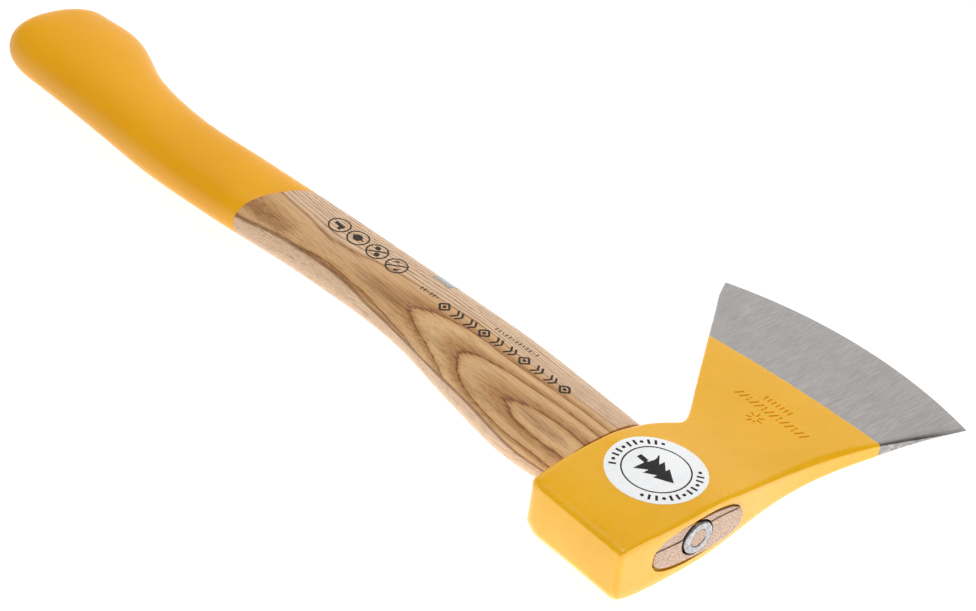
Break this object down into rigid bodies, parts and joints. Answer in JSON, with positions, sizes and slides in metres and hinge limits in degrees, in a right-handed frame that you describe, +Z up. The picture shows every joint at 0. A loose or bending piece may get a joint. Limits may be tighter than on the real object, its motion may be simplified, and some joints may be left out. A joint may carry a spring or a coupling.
{
  "type": "hatchet",
  "caption": "One-hand hatchet lying on its side: forged yellow head with ground bit, curved ash handle with dipped yellow grip, steel ring wedge in the eye.",
  "frame": {"origin": "centre of the bounding box at the bench the hatchet lies on", "axes": "+X along the handle from the grip's knob to the head, +Y from the poll to the cutting edge, +Z up from the bench; the tool lies at rest, its mid-plane turned 5.8 degrees about X so that the cheek, the cutting edge and the knob all touch the bench"},
  "size_m": [0.387, 0.17, 0.0297],
  "materials": {
    "axe_head": "gloss yellow lacquer, with a ground steel bit",
    "handle": "sanded ash, satin",
    "ring_wedge": "turned steel",
    "grip_coating": "dipped yellow lacquer, satin",
    "head_label": "printed white film",
    "handle_label": "small silver foil"
  },
  "bodies": {
    "root": {"axe_head": "axe_head", "handle": "handle", "ring_wedge": "ring_wedge", "grip_coating": "grip_coating", "head_label": "head_label", "handle_label": "handle_label"}
  },
  "joints": []
}
